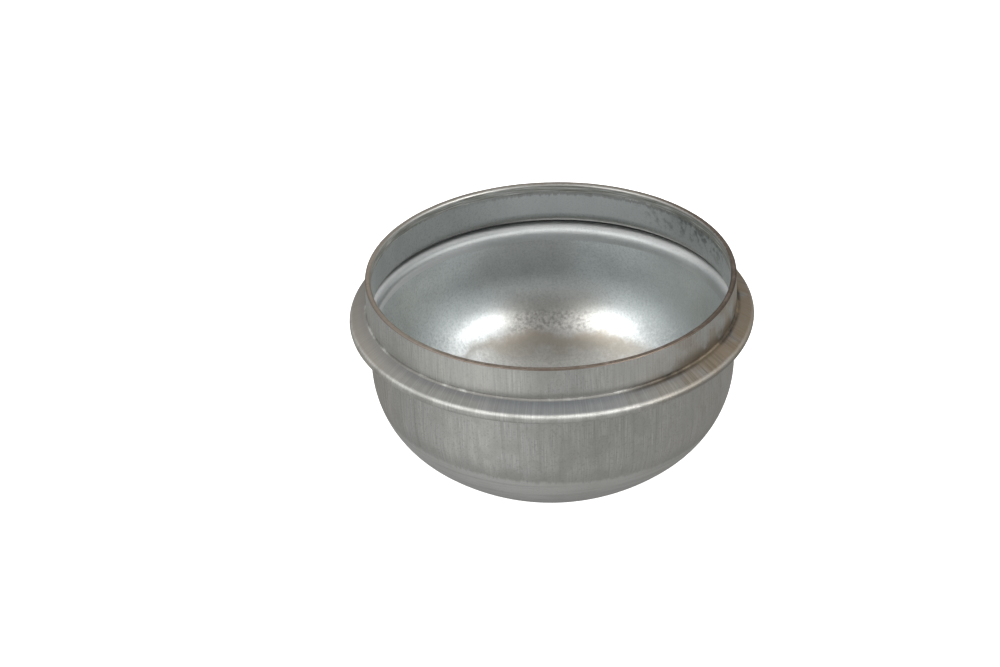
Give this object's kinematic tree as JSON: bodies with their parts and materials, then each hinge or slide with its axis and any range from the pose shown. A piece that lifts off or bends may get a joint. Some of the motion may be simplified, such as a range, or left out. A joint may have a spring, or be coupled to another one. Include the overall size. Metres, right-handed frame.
{
  "type": "hub grease cap",
  "caption": "Round domed hub grease cap pressed from one steel sheet, with an open press-fit collar and a folded flange that stops it at the mouth of the hub bore.",
  "frame": {"origin": "middle of the nose flat that the cap stands on, mouth up", "axes": "+Z along the cap's axis, from the nose to the open rim of the collar"},
  "size_m": [0.07, 0.07, 0.0394],
  "materials": {
    "zinc_plated_steel": "satin zinc plate with fine draw marks"
  },
  "bodies": {
    "root": {"grease_cap": "zinc_plated_steel"}
  },
  "joints": []
}
